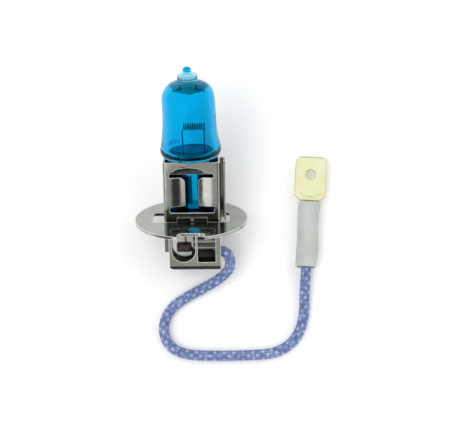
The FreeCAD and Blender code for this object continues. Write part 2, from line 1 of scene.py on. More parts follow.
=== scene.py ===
"""Looks of the headlight bulb: blue glass, plated steel cap, braided lead and brass blade terminal.

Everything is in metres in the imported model's frame: Z = 0 is the table, +Y runs towards the glass tip.
"""
import json
import math

import bmesh
import bpy
from mathutils import Matrix, Vector


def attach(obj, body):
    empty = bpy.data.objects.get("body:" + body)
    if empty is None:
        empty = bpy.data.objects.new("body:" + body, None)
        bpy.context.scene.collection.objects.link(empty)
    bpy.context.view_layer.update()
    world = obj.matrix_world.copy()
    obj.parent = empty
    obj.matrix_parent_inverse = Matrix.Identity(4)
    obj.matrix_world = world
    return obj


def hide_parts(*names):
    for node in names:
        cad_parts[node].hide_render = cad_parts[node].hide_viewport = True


MM = 0.001

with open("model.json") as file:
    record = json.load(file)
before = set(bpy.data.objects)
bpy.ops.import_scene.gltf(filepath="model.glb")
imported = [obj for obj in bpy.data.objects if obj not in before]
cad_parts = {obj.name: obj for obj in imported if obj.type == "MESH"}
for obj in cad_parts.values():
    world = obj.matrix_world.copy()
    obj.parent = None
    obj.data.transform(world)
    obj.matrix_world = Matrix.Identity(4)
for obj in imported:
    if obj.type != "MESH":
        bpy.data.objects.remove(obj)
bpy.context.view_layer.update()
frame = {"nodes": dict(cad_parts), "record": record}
mounts = {mount["name"]: mount for mount in frame["record"]["mounts"]}

# The lamp's own directions: its axis, the front of the holder, and the right.
AXIS = Vector(mounts["flange_rim"]["axis"]).normalized()
RIGHT = Vector((1, 0, 0))
FRONT = RIGHT.cross(AXIS).normalized()
FLANGE_THICK = mounts["flange_rim"]["dims"]["length_mm"] * MM
FLANGE_CENTRE = Vector(mounts["flange_rim"]["pos_m"]) + AXIS * FLANGE_THICK / 2


def lamp_point(right, front, along):
    """A point given in millimetres from the middle of the flange's glass-side face."""
    return FLANGE_CENTRE + (RIGHT * right + FRONT * front + AXIS * along) * MM


# ---------------------------------------------------------------- camera and light

CAMERA_ELEVATION = math.radians(80)
CAMERA_ROLL = math.radians(0.6)
CAMERA_DISTANCE = 200 * MM
CAMERA_AIM_RIGHT = 8.53 * MM
CAMERA_AIM_UP = -0.56 * MM
LENS = 78.2
WORLD_STRENGTH = 0.92
STRIP_STRENGTH = 2.0
# Grey of the studio, (position, grey): low in front of the lamp from left to right, and then everywhere else.
STRIPS = [(0.0, 0.15), (1.0, 0.35), (0.205, 0.05), (0.23, 0.95), (0.425, 0.8), (0.455, 0.16), (0.482, 0.38),
          (0.495, 0.42), (0.52, 0.2), (0.55, 0.03), (0.74, 0.03), (0.765, 0.6), (0.88, 0.55)]
DOME = [(0.0, 0.85), (1.0, 0.03), (0.5, 0.8), (0.7, 0.85), (0.9, 1.1), (0.955, 1.0), (0.972, 0.04)]
# The strips take over from the dome towards the front, by the direction's Y times the slope, plus the offset.
STRIP_SLOPE = -5.0
STRIP_OFFSET = -1.75
# Each light's name, place, diameter and power.
LIGHTS = [("key", (-0.15, -0.1, 0.45), 0.4, 0.9), ("fill", (0.3, 0.2, 0.4), 0.5, 0.6)]
LIGHT_TARGET = Vector((0, -0.01, 0))
FLOOR_SIZE = 1.6
FLOOR_DROP = 0.1 * MM
FLOOR_SHADE = 0.98


def make_camera():
    """Looks down steeply on the lamp, with the lead's loop in the middle of the picture."""
    toward = Vector((0, -math.cos(CAMERA_ELEVATION), math.sin(CAMERA_ELEVATION)))
    level_up = Vector((0, math.sin(CAMERA_ELEVATION), math.cos(CAMERA_ELEVATION)))
    right = RIGHT * math.cos(CAMERA_ROLL) - level_up * math.sin(CAMERA_ROLL)
    up = RIGHT * math.sin(CAMERA_ROLL) + level_up * math.cos(CAMERA_ROLL)
    data = bpy.data.cameras.new("camera")
    data.lens = LENS
    data.clip_start = 0.01
    camera = bpy.data.objects.new("camera", data)
    bpy.context.scene.collection.objects.link(camera)
    place = FLANGE_CENTRE + RIGHT * CAMERA_AIM_RIGHT + level_up * CAMERA_AIM_UP + toward * CAMERA_DISTANCE
    camera.matrix_world = Matrix.Translation(place) @ Matrix((right, up, toward)).transposed().to_4x4()
    bpy.context.scene.camera = camera
    return toward


class Wiring:
    """Shader nodes by name, with the few links that the world and the materials need."""

    def __init__(self, tree):
        self.nodes, self.links = tree.nodes, tree.links

    def feed(self, value, socket):
        """Links a socket, or sets a plain value."""
        if isinstance(value, bpy.types.NodeSocket):
            self.links.new(value, socket)
        else:
            socket.default_value = value

    def math(self, operation, one, two=0.0, clamp=False):
        """One arithmetic step on two values."""
        node = self.nodes.new("ShaderNodeMath")
        node.operation = operation
        node.use_clamp = clamp
        self.feed(one, node.inputs[0])
        self.feed(two, node.inputs[1])
        return node.outputs[0]

    def ramp(self, factor, stops):
        """A colour ramp over a factor, from (position, colour or grey) stops."""
        node = self.nodes.new("ShaderNodeValToRGB")
        elements = node.color_ramp.elements
        for index, (position, colour) in enumerate(stops):
            element = elements[index] if index < 2 else elements.new(position)
            element.position = position
            element.color = (*colour, 1) if isinstance(colour, tuple) else (colour, colour, colour, 1)
        self.feed(factor, node.inputs["Fac"])
        return node.outputs["Color"]

    def mix(self, factor, one, two):
        """A colour between two others."""
        node = self.nodes.new("ShaderNodeMix")
        node.data_type = "RGBA"
        self.feed(factor, node.inputs["Factor"])
        self.feed(one, node.inputs["A"])
        self.feed(two, node.inputs["B"])
        return node.outputs["Result"]

    def noise(self, scale, detail=3.0, roughness=0.5, stretch=(1, 1, 1)):
        """Object-space noise, with its scale in features per millimetre."""
        coord = self.nodes.new("ShaderNodeTexCoord")
        placed = self.nodes.new("ShaderNodeMapping")
        placed.inputs["Scale"].default_value = stretch
        self.feed(coord.outputs["Object"], placed.inputs["Vector"])
        node = self.nodes.new("ShaderNodeTexNoise")
        node.inputs["Scale"].default_value = scale / MM
        node.inputs["Detail"].default_value = detail
        node.inputs["Roughness"].default_value = roughness
        self.feed(placed.outputs["Vector"], node.inputs["Vector"])
        return node.outputs["Fac"]

    def bump(self, height, distance, strength):
        """A normal tilted by a height, which spans the distance in metres."""
        node = self.nodes.new("ShaderNodeBump")
        node.inputs["Strength"].default_value = strength
        node.inputs["Distance"].default_value = distance
        self.feed(height, node.inputs["Height"])
        return node.outputs["Normal"]


def make_world(dark_way):
    """A pale studio: a dark gap round the camera, and strips of light and dark low in front of the lamp."""
    world = bpy.data.worlds.new("studio")
    bpy.context.scene.world = world
    world.use_nodes = True
    world.node_tree.nodes.clear()
    wires = Wiring(world.node_tree)
    out = wires.nodes.new("ShaderNodeOutputWorld")
    back = wires.nodes.new("ShaderNodeBackground")
    coord = wires.nodes.new("ShaderNodeTexCoord")
    apart = wires.nodes.new("ShaderNodeSeparateXYZ")
    wires.feed(coord.outputs["Generated"], apart.inputs[0])
    across = wires.math("MULTIPLY_ADD", apart.outputs["X"], 0.5)
    across.node.inputs[2].default_value = 0.5
    strips = wires.ramp(across, STRIPS)
    lit = wires.nodes.new("ShaderNodeVectorMath")
    lit.operation = "SCALE"
    lit.inputs["Scale"].default_value = STRIP_STRENGTH
    wires.feed(strips, lit.inputs[0])
    facing = wires.nodes.new("ShaderNodeVectorMath")
    facing.operation = "DOT_PRODUCT"
    facing.inputs[1].default_value = dark_way
    wires.feed(coord.outputs["Generated"], facing.inputs[0])
    dome = wires.ramp(facing.outputs["Value"], DOME)
    forward = wires.math("MULTIPLY_ADD", apart.outputs["Y"], STRIP_SLOPE, clamp=True)
    forward.node.inputs[2].default_value = STRIP_OFFSET
    wires.feed(wires.mix(forward, dome, lit.outputs[0]), back.inputs["Color"])
    wires.feed(back.outputs["Background"], out.inputs["Surface"])
    back.inputs["Strength"].default_value = WORLD_STRENGTH


def make_light(name, place, side, power):
    """A soft round lamp that points at the object and isn't seen in its gloss."""
    data = bpy.data.lights.new(name, "AREA")
    data.shape = "DISK"
    data.size = side
    data.energy = power
    light = bpy.data.objects.new(name, data)
    bpy.context.scene.collection.objects.link(light)
    light.location = place
    light.rotation_mode = "QUATERNION"
    light.rotation_quaternion = (LIGHT_TARGET - Vector(place)).to_track_quat("-Z", "Y")
    light.visible_glossy = False


# ---------------------------------------------------------------- materials


# Less than quartz has, which leaves the envelope's edges less pale.
GLASS_IOR = 1.36


def new_material(name, **values):
    """A principled material whose constant values are set on the shader's own sockets."""
    material = bpy.data.materials.new(name)
    material.use_nodes = True
    shader = material.node_tree.nodes["Principled BSDF"]
    for socket, value in values.items():
        shader.inputs[socket.replace("_", " ")].default_value = value
    return material, Wiring(material.node_tree), shader


def plated_steel(name, low, high):
    """Nickel plate between two colours, with faint clouds, fine scratches and slightly wavy faces."""
    material, wires, shader = new_material(name, Metallic=1.0)
    cloud = wires.noise(0.35, 4.0)
    tint = wires.ramp(cloud, [(0.3, low), (0.7, high)])
    wires.feed(tint, shader.inputs["Base Color"])
    wear = wires.noise(2.2, 6.0, 0.65)
    wires.feed(wires.ramp(wear, [(0.35, 0.1), (0.75, 0.26)]), shader.inputs["Roughness"])
    wires.feed(wires.bump(wires.noise(0.6, 3.0), 0.02 * MM, 0.5), shader.inputs["Normal"])
    return material


def painted_shade_steel():
    """The same plate, dull and nearly black: painted shade for the bends, walls, crimp and edges that fall
    dark.
    """
    material, wires, shader = new_material("painted_shade_steel", Metallic=0.8)
    cloud = wires.noise(0.9, 5.0, 0.6)
    tint = wires.ramp(cloud, [
        (0.35, (0.008, 0.009, 0.008)), (0.6, (0.03, 0.028, 0.024)), (0.8, (0.1, 0.085, 0.07))])
    wires.feed(tint, shader.inputs["Base Color"])
    wires.feed(wires.ramp(cloud, [(0.3, 0.25), (0.7, 0.5)]), shader.inputs["Roughness"])
    wires.feed(wires.bump(wires.noise(3.0, 4.0), 0.02 * MM, 0.4), shader.inputs["Normal"])
    return material


def painted_edge_metal(name, low, high, metallic):
    """Metal on a rolled edge, between two colours that are a painted highlight or painted shade, with an even
    sheen.
    """
    material, wires, shader = new_material(name, Metallic=metallic)
    cloud = wires.noise(1.5, 4.0)
    wires.feed(wires.ramp(cloud, [(0.3, low), (0.7, high)]), shader.inputs["Base Color"])
    wires.feed(wires.ramp(cloud, [(0.3, 0.38), (0.7, 0.52)]), shader.inputs["Roughness"])
    return material


def brass():
    """Pale rolled brass, dulled and slightly mottled, with a fine grain along the blade."""
    material, wires, shader = new_material("pale_brass", Metallic=0.55)
    cloud = wires.noise(0.45, 5.0)
    tint = wires.ramp(cloud, [(0.3, (0.85, 0.84, 0.45)), (0.7, (0.89, 0.91, 0.64))])
    wires.feed(tint, shader.inputs["Base Color"])
    wear = wires.noise(4.0, 6.0, 0.7, (3.0, 0.3, 1.0))
    wires.feed(wires.ramp(wear, [(0.3, 0.3), (0.7, 0.48)]), shader.inputs["Roughness"])
    wires.feed(wires.bump(wear, 0.01 * MM, 0.3), shader.inputs["Normal"])
    return material


def dark_metal(name, low, high, rough_low=0.3, rough_high=0.5):
    """A stained metal between two colours."""
    material, wires, shader = new_material(name, Metallic=1.0)
    cloud = wires.noise(2.0, 4.0)
    wires.feed(wires.ramp(cloud, [(0.3, low), (0.7, high)]), shader.inputs["Base Color"])
    wires.feed(wires.ramp(cloud, [(0.3, rough_low), (0.7, rough_high)]), shader.inputs["Roughness"])
    wires.feed(wires.bump(wires.noise(6.0, 3.0), 0.02 * MM, 0.4), shader.inputs["Normal"])
    return material


def tinted_glass(name, low, high, shine, rough=0.02, clear=1.0):
    """Glass under an absorbing coat of uneven thickness, cloudy where clear is under 1."""
    material, wires, shader = new_material(
        name, Transmission_Weight=clear, IOR=GLASS_IOR, Specular_Tint=(*shine, 1), Roughness=rough)
    cloud = wires.noise(0.12, 2.0)
    wires.feed(wires.ramp(cloud, [(0.3, low), (0.7, high)]), shader.inputs["Base Color"])
    wires.feed(wires.bump(wires.noise(0.35, 2.0), 0.05 * MM, 0.25), shader.inputs["Normal"])
    return material


def sleeve_plastic():
    """Soft grey-white tubing with a faint grain and a few smudges."""
    material, wires, shader = new_material("sleeve_plastic", Subsurface_Weight=0.1, Subsurface_Scale=0.3 * MM)
    cloud = wires.noise(0.3, 4.0)
    tint = wires.ramp(cloud, [
        (0.3, (0.44, 0.48, 0.45)), (0.55, (0.5, 0.54, 0.51)), (0.75, (0.54, 0.58, 0.55))])
    wires.feed(tint, shader.inputs["Base Color"])
    grain = wires.noise(5.0, 4.0)
    wires.feed(wires.ramp(grain, [(0.3, 0.5), (0.7, 0.65)]), shader.inputs["Roughness"])
    wires.feed(wires.bump(grain, 0.02 * MM, 0.3), shader.inputs["Normal"])
    return material


def yarn(name, low, middle, high):
    """Glass-fibre yarn between three shades, with its fine filaments as bump."""
    material, wires, shader = new_material(name, Sheen_Weight=0.25, Sheen_Roughness=0.4)
    cloud = wires.noise(1.3, 4.0, 0.6)
    wires.feed(wires.ramp(cloud, [(0.32, low), (0.5, middle), (0.68, high)]), shader.inputs["Base Color"])
    fibre = wires.noise(9.0, 3.0)
    wires.feed(wires.ramp(fibre, [(0.3, 0.5), (0.7, 0.75)]), shader.inputs["Roughness"])
    wires.feed(wires.bump(fibre, 0.03 * MM, 0.5), shader.inputs["Normal"])
    return material


# ---------------------------------------------------------------- building aids

# The places of the materials on a piece with rolled edges: the plate or brass comes first, and the edge slots
# hold a painted highlight on steel and painted shade on brass.
PAINTED_SHADE_SLOT = 1
STEEL_EDGE_SLOT = 2
BRASS_EDGE_SLOT = 1
# Where the plate gets painted shade, in the lamp's millimetres: on the foot, the right wall, the ferrule and
# the disc.
FOOT_BEND_TOP = -8.9
WALL_LOW = -0.5
WALL_SIDE = 5.0
CRIMP_TOP = -6.4
TAB_HALF = 3.2
TAB_FACE = (2.3, 2.6)
TAB_RIM_HALF = 3.1
TAB_RIM_LOW = 0.05
OPENING_REAR = (-2.9, -2.6)
OPENING_FRONT = (2.5, 2.95)
OPENING_RIM_TOP = 0.15
HOLDER_HALF = 5.6


def link(obj):
    """Adds an object to the scene."""
    bpy.context.scene.collection.objects.link(obj)
    return obj


def finish_piece(obj, material, slot, *nodes):
    """Gives a new piece its materials and its body, and hides the CAD nodes that it takes the place of; the
    slot is not used.
    """
    obj.data.materials.clear()
    for each in material if isinstance(material, list) else [material]:
        obj.data.materials.append(each)
    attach(obj, "root")
    if nodes:
        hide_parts(*nodes)
    return obj


def smooth(mesh, degrees):
    """Shades smooth, with creases where faces meet at more than an angle."""
    mesh.shade_smooth()
    mesh.set_sharp_from_angle(angle=math.radians(degrees))
    return mesh


def mesh_of(name, points, faces):
    """A linked mesh object from points and faces, with its normals turned outwards."""
    mesh = bpy.data.meshes.new(name)
    mesh.from_pydata([tuple(point) for point in points], [], faces)
    work = bmesh.new()
    work.from_mesh(mesh)
    bmesh.ops.recalc_face_normals(work, faces=work.faces)
    work.to_mesh(mesh)
    work.free()
    return link(bpy.data.objects.new(name, mesh))


def bevelled(node, width, edge_slot, crease=35):
    """A piece of the same shape as a CAD node, with its sharp edges rolled over in the material of a slot."""
    source = frame["nodes"][node]
    mesh = source.data.copy()
    work = bmesh.new()
    work.from_mesh(mesh)
    bmesh.ops.remove_doubles(work, verts=work.verts, dist=0.0005 * MM)
    bmesh.ops.dissolve_limit(work, angle_limit=math.radians(1.5), verts=work.verts, edges=work.edges)
    work.to_mesh(mesh)
    work.free()
    smooth(mesh, crease)
    piece = link(bpy.data.objects.new(node + "_rolled_edges", mesh))
    piece.matrix_world = source.matrix_world
    edges = piece.modifiers.new("edges", "BEVEL")
    edges.width = width
    edges.segments = 2
    edges.material = edge_slot
    edges.limit_method = "ANGLE"
    edges.angle_limit = math.radians(crease)
    edges.harden_normals = True
    edges.use_clamp_overlap = False
    return piece


def paint_plate_shade(piece):
    """Gives painted shade, in the near-black material, to the foot's bend, the right wall's outside and the
    ferrule's lower crimp.
    """
    for face in piece.data.polygons:
        where = face.center - FLANGE_CENTRE
        along, right = where.dot(AXIS) / MM, where.dot(RIGHT) / MM
        bend = along < FOOT_BEND_TOP and face.normal.dot(AXIS) < -0.25
        wall = along > WALL_LOW and right > WALL_SIDE and face.normal.dot(RIGHT) > 0.8
        crimp = "ferrule" in piece.name and along < CRIMP_TOP
        if bend or wall or crimp:
            face.material_index = PAINTED_SHADE_SLOT


def paint_disc_shade(disc):
    """Gives painted shade, in the near-black material, to the tab's face and to the opening's rear wall and
    covered front edge.
    """
    apply_modifiers(disc)
    for face in disc.data.polygons:
        where = face.center - FLANGE_CENTRE
        along, front, right = where.dot(AXIS) / MM, where.dot(FRONT) / MM, abs(where.dot(RIGHT) / MM)
        facing_front = face.normal.dot(FRONT) > 0.7
        tab_face = facing_front and right < TAB_HALF and TAB_FACE[0] < front < TAB_FACE[1]
        rear_wall = facing_front and OPENING_REAR[0] < front < OPENING_REAR[1]
        tab_rim = right < TAB_RIM_HALF and along > TAB_RIM_LOW
        near_front = right < HOLDER_HALF and OPENING_FRONT[0] < front < OPENING_FRONT[1]
        front_edge = near_front and along < OPENING_RIM_TOP and not tab_rim
        if tab_face or rear_wall or front_edge:
            face.material_index = PAINTED_SHADE_SLOT


def tube_rings(rings, count, closed=False):
    """Points and faces of a tube through rings, each a function from an angle to a point."""
    points = [ring(2 * math.pi * k / count) for ring in rings for k in range(count)]
    faces = []
    for i in range(len(rings) if closed else len(rings) - 1):
        for k in range(count):
            near, far = i * count, (i + 1) % len(rings) * count
            faces.append((near + k, near + (k + 1) % count, far + (k + 1) % count, far + k))
    return points, faces


def apply_modifiers(obj):
    """Replaces an object's mesh by what its modifiers make of it."""
    seen = obj.evaluated_get(bpy.context.evaluated_depsgraph_get())
    mesh = bpy.data.meshes.new_from_object(seen)
    obj.modifiers.clear()
    obj.data = mesh
    return obj


def combine(obj, operation, other):
    """Joins another object to this one, or takes it away, and removes the other."""
    step = obj.modifiers.new("combine", "BOOLEAN")
    step.operation = operation
    step.solver = "EXACT"
    step.object = other
    apply_modifiers(obj)
    bpy.data.objects.remove(other)


def catmull_rom(p, q, r, u, t):
    """The value a part t of the way from q to r, on a smooth curve through all four."""
    bend = (2 * p - 5 * q + 4 * r - u) * t ** 2
    return 0.5 * (2 * q + (r - p) * t + bend + (3 * q - p - 3 * r + u) * t ** 3)


def spline_through(stations, steps):
    """Catmull-Rom points through (height, radius) stations, with the ends kept."""
    padded = [stations[0]] + list(stations) + [stations[-1]]
    found = []
    for a, b, c, d in zip(padded, padded[1:], padded[2:], padded[3:]):
        for i in range(steps):
            found.append(tuple(catmull_rom(*values, i / steps) for values in zip(a, b, c, d)))
    return found + [stations[-1]]


# ---------------------------------------------------------------- the glass

GLASS_SIDE = 0.35
GLASS_LEAN = math.radians(1.3)
LEAN_HEIGHT = 7.0
# Stations along the lamp's axis, (height, radius) in millimetres: outside, nipple with its tip, and hollow.
BULB = [(12.15, 0.0), (12.2, 2.6), (12.4, 4.55), (12.9, 5.45), (13.9, 5.85), (15.1, 5.68), (16.4, 5.4),
        (19.5, 5.12), (22.4, 5.07), (24.2, 5.0), (25.3, 4.7), (26.1, 4.2), (26.8, 3.4), (27.25, 2.4),
        (27.45, 1.98)]
TIP = [(27.45, 1.98), (27.7, 1.97), (28.0, 1.93), (28.35, 1.78), (28.68, 1.4), (28.9, 0.92), (29.05, 0.74),
       (29.25, 0.8), (29.5, 0.77), (29.7, 0.58), (29.82, 0.3), (29.85, 0.0)]
HOLLOW = [(13.2, 0.0), (13.3, 2.0), (13.35, 3.2), (13.6, 4.25), (14.2, 4.6), (15.0, 4.58), (16.5, 4.38),
          (19.5, 4.15), (22.6, 4.1), (24.3, 3.8), (25.2, 3.1), (25.75, 2.0), (26.0, 1.0), (26.05, 0.0)]
NIPPLE_HOLLOW = [(27.55, 0.0), (27.6, 0.9), (27.75, 1.35), (28.05, 1.35), (28.35, 0.95), (28.5, 0.0)]
# Unevenness of the blown walls, and the stations' in-between points and points round.
OUTER_WOBBLE = 0.02
HOLLOW_WOBBLE = 0.05
SHELL_STEPS = 4
SHELL_COUNT = 96
# The places of the materials on the glass, where the blue coat comes first.
CLEAR_SLOT = 1
GLASS_SHADE_SLOT = 2
NIPPLE_SLOT = 3
# The crescent of painted shade under the nipple: its heights, how much it curves up and how far out that is.
CRESCENT_LOW = 25.6
CRESCENT_HIGH = 27.4
CRESCENT_RISE = 1.2
CRESCENT_HALF = 4.3
# Heights and radii of the hollow's floor, its crown and the nipple, and the pinch's thin webs; the floor and
# the webs get painted shade.
HOLLOW_LOW = 13.0
HOLLOW_HIGH = 26.2
HOLLOW_RADIUS = 4.75
HOLLOW_FLOOR_TOP = 13.8
HOLLOW_FLOOR_RADIUS = 4.45
CROWN_LOW = 25.0
CROWN_RADIUS = 3.5
NIPPLE_HIGH = 28.95
NIPPLE_RADIUS = 1.7
PINCH_TOP = 11.9
WEB = (0.95, 3.6)


def glass_point(right, front, along):
    """A point in the glass's own millimetres, which stands beside the lamp's axis and leans the other way."""
    rise = along - LEAN_HEIGHT
    leaned = right * math.cos(GLASS_LEAN) - rise * math.sin(GLASS_LEAN)
    raised = LEAN_HEIGHT + rise * math.cos(GLASS_LEAN) + right * math.sin(GLASS_LEAN)
    return lamp_point(GLASS_SIDE + leaned, front, raised)


def turned_shell(stations, wobble):
    """Rings round the glass's axis through stations, with a slight unevenness of the blown wall."""
    rings = []
    for height, radius in spline_through(stations, SHELL_STEPS):
        def ring(angle, height=height, radius=max(radius, 0.0005)):
            reach = radius + wobble * math.sin(3 * angle + height) * min(radius, 1.0)
            return glass_point(reach * math.cos(angle), reach * math.sin(angle), height)
        rings.append(ring)
    return tube_rings(rings, SHELL_COUNT)


def join_parts(parts):
    """One list of points and faces from several."""
    points, faces = [], []
    for more_points, more_faces in parts:
        first = len(points)
        points += more_points
        faces += [tuple(first + i for i in face) for face in more_faces]
    return points, faces


# Half of the pinch's cross-section, (right, front) in millimetres: a thin web, a middle rib and end ribs.
PINCH = [(0.0, 0.98), (0.5, 0.98), (0.72, 0.9), (0.95, 0.68), (1.2, 0.6), (3.3, 0.62), (3.6, 0.78),
         (3.75, 1.15), (3.95, 1.33), (4.5, 1.35), (4.72, 1.22), (4.8, 0.9), (4.8, 0.0)]
# Heights up the pinch, each with the scale of its section there.
PINCH_HEIGHTS = [(0.8, 0.92), (0.9, 0.98), (1.1, 1.0), (3.0, 1.0), (6.0, 0.99), (9.0, 1.0), (11.6, 1.0),
                 (12.1, 1.04), (12.6, 1.08)]


def make_pinch():
    """The flat-pressed seal: a ribbed bar that widens into the bulb."""
    loop = PINCH + [(x, -y) for x, y in reversed(PINCH[:-1])]
    loop += [(-x, y) for x, y in reversed(loop[1:-1])]
    points, faces = [], []
    count = len(loop)
    for row, (height, scale) in enumerate(PINCH_HEIGHTS):
        for x, y in loop:
            points.append(glass_point(x * min(scale, 1.0), y * scale, height))
        if row:
            for k in range(count):
                near, far = (row - 1) * count, row * count
                faces.append((near + k, near + (k + 1) % count, far + (k + 1) % count, far + k))
    faces.append(tuple(range(count)))
    faces.append(tuple((len(PINCH_HEIGHTS) - 1) * count + k for k in range(count)))
    return points, faces


def paint_glass(glass):
    """Gives each stretch of the glass its own tint, with near-black glass as painted shade on the hollow's
    floor, the crescent under the nipple and the pinch's webs.
    """
    for face in glass.data.polygons:
        where = face.center - FLANGE_CENTRE
        height = where.dot(AXIS) / MM
        front = where.dot(FRONT) / MM
        beside = where.dot(RIGHT) / MM - GLASS_SIDE
        off_axis = math.hypot(front, beside)
        facing_in = face.normal.dot(where - AXIS * where.dot(AXIS)) < 0
        floor_face = HOLLOW_LOW < height < HOLLOW_FLOOR_TOP and off_axis < HOLLOW_FLOOR_RADIUS
        inside = HOLLOW_LOW < height < HOLLOW_HIGH and off_axis < HOLLOW_RADIUS and facing_in
        crown = CROWN_LOW < height < HOLLOW_HIGH and off_axis < CROWN_RADIUS
        crescent_low = CRESCENT_LOW + CRESCENT_RISE * (beside / CRESCENT_HALF) ** 2
        crescent = crescent_low < height < CRESCENT_HIGH and front > 0.3 and off_axis > NIPPLE_RADIUS
        web = height < PINCH_TOP and WEB[0] < abs(beside) < WEB[1]
        if floor_face:
            face.material_index = GLASS_SHADE_SLOT
        elif inside or crown:
            face.material_index = CLEAR_SLOT
        elif CRESCENT_HIGH < height < NIPPLE_HIGH:
            face.material_index = NIPPLE_SLOT
        elif crescent or web:
            face.material_index = GLASS_SHADE_SLOT


def make_glass():
    """The blown envelope joined to its pinch, with the hollows inside it."""
    glass = mesh_of("envelope", *turned_shell(BULB[:-1] + TIP, OUTER_WOBBLE))
    combine(glass, "UNION", mesh_of("pinch", *make_pinch()))
    for stations, wobble in ((HOLLOW, HOLLOW_WOBBLE), (NIPPLE_HOLLOW, 0.0)):
        combine(glass, "DIFFERENCE", mesh_of("hollow", *turned_shell(stations, wobble)))
    glass.name = "glass_envelope"
    smooth(glass.data, 50)
    finish_piece(glass, [GLASS, CLEAR_GLASS, SHADE_TINT_GLASS, NIPPLE_GLASS], "blue_glass", "glass_capsule")
    paint_glass(glass)


# ---------------------------------------------------------------- the lead

# The route's points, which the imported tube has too.
ROUTE = [
    (4.1, -14.216, 6.376),
    (6.1, -14.216, 6.376),
    (7.45, -15.35, 5.75),
    (7.55, -17.55, 4.6),
    (5.8, -19.2, 2.9),
    (2.9, -20.8, 1.45),
    (-1.15, -22.8, 1.09),
    (-4.6, -25.15, 1.09),
    (-6.25, -28.65, 1.09),
    (-5.35, -32.45, 1.09),
    (-2.05, -34.5, 1.09),
    (4.0, -34.8, 1.09),
    (11.0, -34.75, 1.09),
    (16.8, -34.4, 1.09),
    (20.7, -31.6, 1.09),
    (22.25, -27.2, 1.09),
    (22.4, -22.0, 1.3),
    (22.77, -17.35, 2.35),
    (23.086, -12.855, 2.35),
]
YARN_PAIRS = 8
BRAID_START = 1.1 * MM
YARN_PITCH = 7.6 * MM
YARN_RADIUS = 0.93 * MM
YARN_WEAVE = 0.05 * MM
YARN_HALF_WIDTH = {"blue": 0.27 * MM, "pale": 0.13 * MM}
YARN_HALF_THICK = 0.09 * MM
YARN_STEP = 0.16 * MM
# How far the yarns sit into the lead's own tube.
YARN_SINK = 0.02 * MM


def make_lead():
    """The lead's smooth centreline, with a round section that the yarns lie on."""
    data = bpy.data.curves.new("lead", "CURVE")
    data.dimensions = "3D"
    spline = data.splines.new("NURBS")
    spline.points.add(len(ROUTE) - 1)
    for point, place in zip(spline.points, ROUTE):
        point.co = (*[value * MM for value in place], 1)
    spline.order_u = 3
    spline.use_endpoint_u = True
    data.resolution_u = 16
    lead = link(bpy.data.objects.new("lead", data))
    line = bpy.data.meshes.new_from_object(lead.evaluated_get(bpy.context.evaluated_depsgraph_get()))
    centre = [vertex.co.copy() for vertex in line.vertices]
    data.bevel_depth = YARN_RADIUS - YARN_SINK
    data.bevel_resolution = 5
    data.use_fill_caps = True
    return lead, centre


def evenly(points, step):
    """Points a fixed step apart along a line."""
    found = [points[0].copy()]
    left = step
    for one, two in zip(points, points[1:]):
        span = (two - one).length
        done = 0.0
        while span - done >= left:
            done += left
            found.append(one.lerp(two, done / span))
            left = step
        left -= span - done
    return found


def carried_frames(points):
    """At each point of a line, its direction and two directions across it that turn as little as they can."""
    side = Vector((0, 0, 1))
    frames = []
    for i, point in enumerate(points):
        ahead = (points[min(i + 1, len(points) - 1)] - points[max(i - 1, 0)]).normalized()
        side = (side - ahead * side.dot(ahead)).normalized()
        frames.append((point, ahead, side, ahead.cross(side)))
    return frames


def make_yarn(frames, hand, number, half_width):
    """One flat yarn wound round the lead, over and under those of the other hand."""
    def place(i, off_way, off_out):
        point, ahead, side, other = frames[i]
        turn = 2 * math.pi * (number / YARN_PAIRS + hand * i * YARN_STEP / YARN_PITCH)
        crossings = YARN_PAIRS * 2 * math.pi * i * YARN_STEP / YARN_PITCH
        weave = hand * YARN_WEAVE * math.cos(crossings + math.pi * number)
        out = side * math.cos(turn) + other * math.sin(turn)
        round_way = ahead.cross(out) * hand * 2 * math.pi * YARN_RADIUS
        along = (ahead * YARN_PITCH + round_way).normalized()
        return point + out * (YARN_RADIUS + weave + off_out) + along.cross(out) * off_way

    return tube_rings([
        lambda angle, i=i: place(i, half_width * math.cos(angle), YARN_HALF_THICK * math.sin(angle))
        for i in range(len(frames))], 6)


def make_braid(centre):
    """Two sets of flat yarns, wound both ways round the lead, every second one pale."""
    frames = carried_frames(evenly(centre, YARN_STEP))[round(BRAID_START / YARN_STEP):]
    parts = {"blue": [], "pale": []}
    for hand in (1, -1):
        for number in range(YARN_PAIRS):
            kind = "pale" if (number + (hand > 0)) % 2 == 0 else "blue"
            parts[kind].append(make_yarn(frames, hand, number, YARN_HALF_WIDTH[kind]))
    return {kind: mesh_of("braid_" + kind, *join_parts(found)) for kind, found in parts.items()}


# ---------------------------------------------------------------- terminal and sleeve

BLADE_HOLE = Vector(mounts["blade_hole"]["pos_m"])
BLADE_FACE = Vector(mounts["blade_face"]["pos_m"])
ALONG_BLADE = Vector((BLADE_FACE.x - BLADE_HOLE.x, BLADE_FACE.y - BLADE_HOLE.y, 0)).normalized()
ACROSS_BLADE = ALONG_BLADE.cross(Vector((0, 0, 1)))
HOLE_FROM_SLEEVE = 5.8
SLEEVE_LENGTH = 13.3
